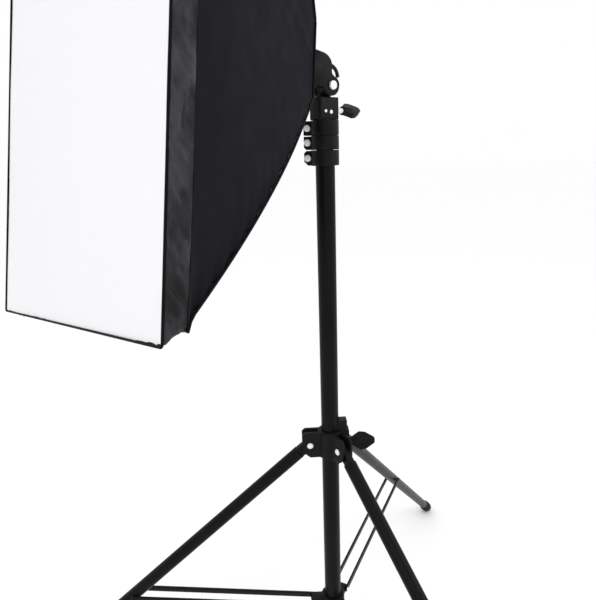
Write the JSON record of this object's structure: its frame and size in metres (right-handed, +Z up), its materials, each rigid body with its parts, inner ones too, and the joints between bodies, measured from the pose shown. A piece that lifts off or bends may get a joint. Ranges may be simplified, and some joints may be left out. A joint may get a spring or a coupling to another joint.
{
  "type": "studio softbox",
  "caption": "Rectangular fabric softbox with a white diffuser on a tilting lamp head and a folding, telescoping light stand.",
  "frame": {"origin": "on the floor, at the middle of the footprint box of the whole object with its legs open", "axes": "+Z up; the lamp faces -Y, tilted up 11.4 degrees; +X is to the right of someone looking along +Y, at the front of the box"},
  "size_m": [0.9976, 1.0817, 1.3999],
  "materials": {
    "black_tube": "black satin powder coat",
    "chrome": "bright plated",
    "black_plastic": "moulded black nylon plastic",
    "black_steel": "black painted steel",
    "black_rubber": "matt moulded rubber",
    "rod_steel": "sprung steel rod",
    "black_nylon": "black coated nylon, silver inside",
    "band_nylon": "black nylon edge band",
    "white_diffuser": "white diffusing cloth",
    "white_ceramic": "glazed white ceramic",
    "lamp_glass": "white lamp"
  },
  "bodies": {
    "stand": {"base_tube": "black_tube", "base_plug": "black_plastic", "collar_1": "black_plastic", "brace_ring": "black_plastic", "ring_pin_1": "chrome", "ring_pin_2": "chrome", "ring_pin_3": "chrome"},
    "shoulder": {"shoulder": "black_plastic", "leg_rivet_1": "chrome", "leg_rivet_2": "chrome", "leg_rivet_3": "chrome"},
    "shoulder_knob": {"shoulder_knob": "black_plastic"},
    "leg_1": {"leg_tube_1": "black_tube", "leg_fitting_1": "black_plastic", "foot_1": "black_rubber", "brace_pin_1": "chrome"},
    "brace_1": {"brace_1a": "black_steel", "brace_1b": "black_steel"},
    "leg_2": {"leg_tube_2": "black_tube", "leg_fitting_2": "black_plastic", "foot_2": "black_rubber", "brace_pin_2": "chrome"},
    "brace_2": {"brace_2a": "black_steel", "brace_2b": "black_steel"},
    "leg_3": {"leg_tube_3": "black_tube", "leg_fitting_3": "black_plastic", "foot_3": "black_rubber", "brace_pin_3": "chrome"},
    "brace_3": {"brace_3a": "black_steel", "brace_3b": "black_steel"},
    "tube_2": {"tube_2": "black_tube", "collar_2": "black_plastic"},
    "tube_3": {"tube_3": "black_tube", "collar_3": "black_plastic"},
    "top_tube": {"top_tube": "chrome", "spigot": "chrome"},
    "collar_knob_1": {"collar_knob_1": "black_plastic"},
    "collar_knob_2": {"collar_knob_2": "black_plastic"},
    "collar_knob_3": {"collar_knob_3": "black_plastic"},
    "swivel": {"stand_socket": "black_plastic"},
    "socket_knob": {"socket_knob": "black_plastic"},
    "head": {"lamp_holder_body": "black_plastic", "tilt_bolt": "chrome", "cable_gland": "black_rubber", "lamp_socket": "white_ceramic", "bulb": "lamp_glass"},
    "tilt_knob": {"tilt_knob": "black_plastic"},
    "softbox": {"speed_ring": "black_steel", "rod_1": "rod_steel", "rod_2": "rod_steel", "rod_3": "rod_steel", "rod_4": "rod_steel", "panel_right": "black_nylon", "panel_left": "black_nylon", "panel_top": "black_nylon", "panel_bottom": "black_nylon", "front_band": "band_nylon", "front_diffuser": "white_diffuser"}
  },
  "joints": [
    {"name": "shoulder_slide", "type": "slide", "parent": "stand", "child": "shoulder", "axis": [0, 0, 1], "range_m": [0, 0.3402]},
    {"name": "shoulder_knob_turn", "type": "hinge", "parent": "shoulder", "child": "shoulder_knob", "pos_m": [-0.10626, -0.00902, 0.5195], "axis": [0.5906, 0.807, 0], "range_deg": [-180, 0]},
    {"name": "leg_1_fold", "type": "hinge", "parent": "shoulder", "child": "leg_1", "pos_m": [-0.1417, -0.05744, 0.5202], "axis": [0.807, -0.5906, 0], "range_deg": [0, 33.01]},
    {"name": "brace_1_fold", "type": "hinge", "parent": "stand", "child": "brace_1", "pos_m": [-0.14052, -0.05582, 0.241], "axis": [-0.807, 0.5906, 0], "range_deg": [0, 61.34]},
    {"name": "leg_2_fold", "type": "hinge", "parent": "shoulder", "child": "leg_2", "pos_m": [-0.09416, -0.03647, 0.5202], "axis": [0.108, 0.9942, 0], "range_deg": [0, 33.01]},
    {"name": "brace_2_fold", "type": "hinge", "parent": "stand", "child": "brace_2", "pos_m": [-0.09614, -0.03625, 0.241], "axis": [-0.108, -0.9942, 0], "range_deg": [0, 61.34]},
    {"name": "leg_3_fold", "type": "hinge", "parent": "shoulder", "child": "leg_3", "pos_m": [-0.13609, -0.00578, 0.5202], "axis": [-0.915, -0.4035, 0], "range_deg": [0, 33.01]},
    {"name": "brace_3_fold", "type": "hinge", "parent": "stand", "child": "brace_3", "pos_m": [-0.13528, -0.00761, 0.241], "axis": [0.915, 0.4035, 0], "range_deg": [0, 61.34]},
    {"name": "tube_2_slide", "type": "slide", "parent": "stand", "child": "tube_2", "axis": [0, 0, 1], "range_m": [0, 0.6]},
    {"name": "tube_3_slide", "type": "slide", "parent": "tube_2", "child": "tube_3", "axis": [0, 0, 1], "range_m": [0, 0.6]},
    {"name": "top_tube_slide", "type": "slide", "parent": "tube_3", "child": "top_tube", "axis": [0, 0, 1], "range_m": [0, 0.6]},
    {"name": "collar_knob_1_turn", "type": "hinge", "parent": "stand", "child": "collar_knob_1", "pos_m": [-0.14119, -0.04399, 0.9235], "axis": [-0.5299, 0.848, 0], "range_deg": [-180, 0]},
    {"name": "collar_knob_2_turn", "type": "hinge", "parent": "tube_2", "child": "collar_knob_2", "pos_m": [-0.14119, -0.04399, 0.9425], "axis": [-0.5299, 0.848, 0], "range_deg": [-180, 0]},
    {"name": "collar_knob_3_turn", "type": "hinge", "parent": "tube_3", "child": "collar_knob_3", "pos_m": [-0.14119, -0.04399, 0.96], "axis": [-0.5299, 0.848, 0], "range_deg": [-180, 0]},
    {"name": "head_swivel", "type": "hinge", "parent": "top_tube", "child": "swivel", "pos_m": [-0.12398, -0.03323, 0.985], "axis": [0, 0, 1], "continuous": true},
    {"name": "socket_knob_turn", "type": "hinge", "parent": "swivel", "child": "socket_knob", "pos_m": [-0.12398, -0.00323, 0.981], "axis": [0, 1, 0], "range_deg": [-180, 0]},
    {"name": "head_tilt", "type": "hinge", "parent": "swivel", "child": "head", "pos_m": [-0.12398, -0.03323, 1.009], "axis": [-1, 0, 0], "range_deg": [-33, 45]},
    {"name": "tilt_knob_turn", "type": "hinge", "parent": "head", "child": "tilt_knob", "pos_m": [-0.14198, -0.03323, 1.009], "axis": [-1, 0, 0], "range_deg": [-180, 0]},
    {"name": "softbox_turn", "type": "hinge", "parent": "head", "child": "softbox", "pos_m": [-0.12398, -0.03083, 1.02096], "axis": [0, -0.9804, 0.1971], "continuous": true}
  ],
  "couplings": [
    {"joint": "leg_1_fold", "follows": "shoulder_slide", "rad_per_m": 1.693},
    {"joint": "brace_1_fold", "follows": "shoulder_slide", "rad_per_m": 3.1461},
    {"joint": "leg_2_fold", "follows": "shoulder_slide", "rad_per_m": 1.693},
    {"joint": "brace_2_fold", "follows": "shoulder_slide", "rad_per_m": 3.1461},
    {"joint": "leg_3_fold", "follows": "shoulder_slide", "rad_per_m": 1.693},
    {"joint": "brace_3_fold", "follows": "shoulder_slide", "rad_per_m": 3.1461}
  ]
}
